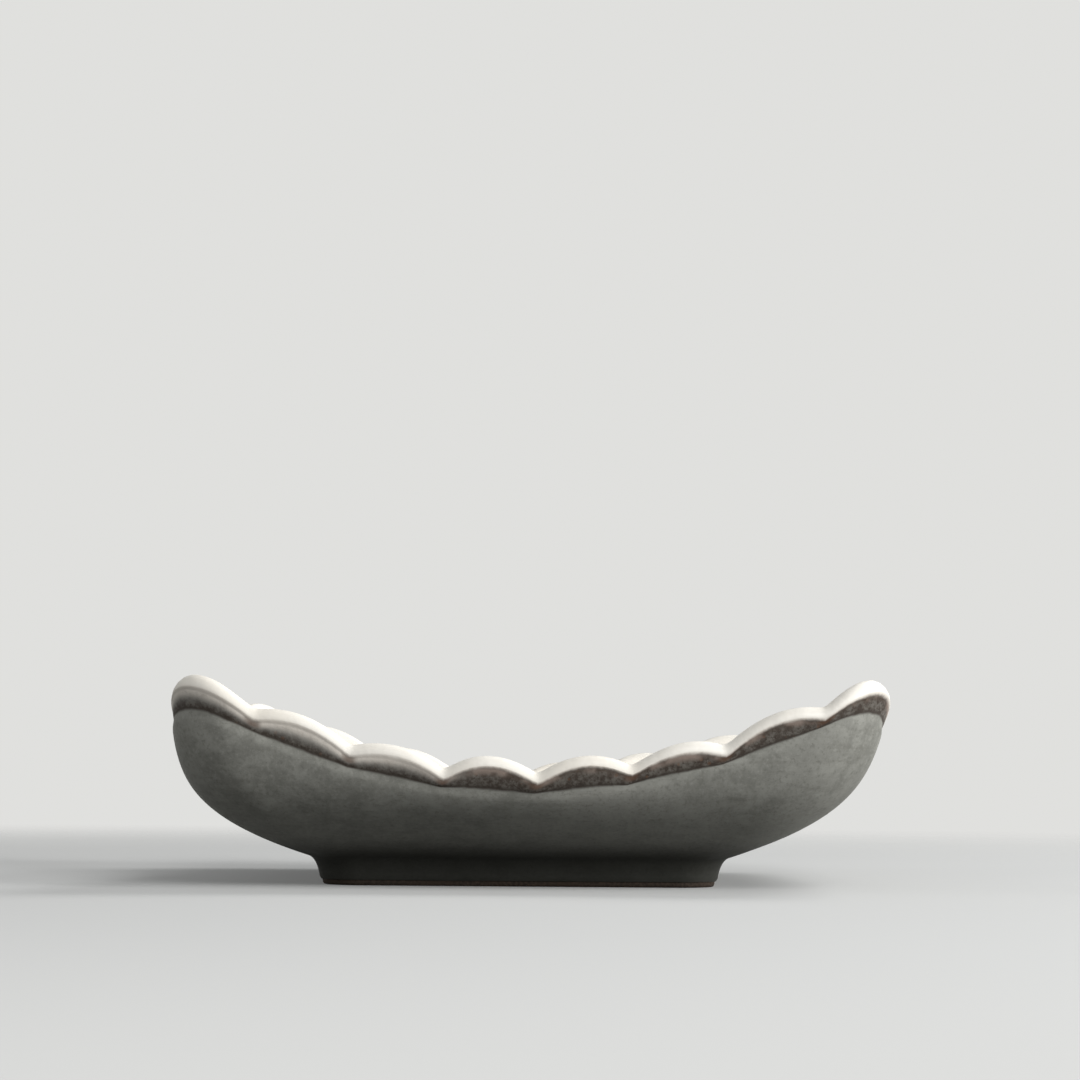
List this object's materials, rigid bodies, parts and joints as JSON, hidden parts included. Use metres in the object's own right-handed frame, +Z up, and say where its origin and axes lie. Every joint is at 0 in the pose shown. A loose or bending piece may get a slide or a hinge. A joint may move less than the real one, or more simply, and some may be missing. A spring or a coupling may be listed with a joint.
{
  "type": "square plate",
  "caption": "Shallow square ceramic plate with a petalled rim, upswept corners and a square foot ring, white glaze inside and grey glaze outside.",
  "frame": {"origin": "on the table, under the middle of the plate", "axes": "+Z up, +Y away from the viewer of the picture, +X to the viewer's right; X and Y run along the plate's sides"},
  "size_m": [0.1244, 0.1244, 0.0363],
  "materials": {
    "stoneware_clay": "dark iron-bearing stoneware, matte, bare only in a narrow band under the lip",
    "foot_clay": "dark iron-bearing stoneware, matte, wiped bare where it stands on the table",
    "white_glaze": "thick warm white satin glaze",
    "grey_glaze": "thin mottled grey semi-matte glaze"
  },
  "bodies": {
    "root": {"dish_body": "stoneware_clay", "foot_ring": "foot_clay", "white_glaze": "white_glaze", "grey_glaze": "grey_glaze"}
  },
  "joints": []
}
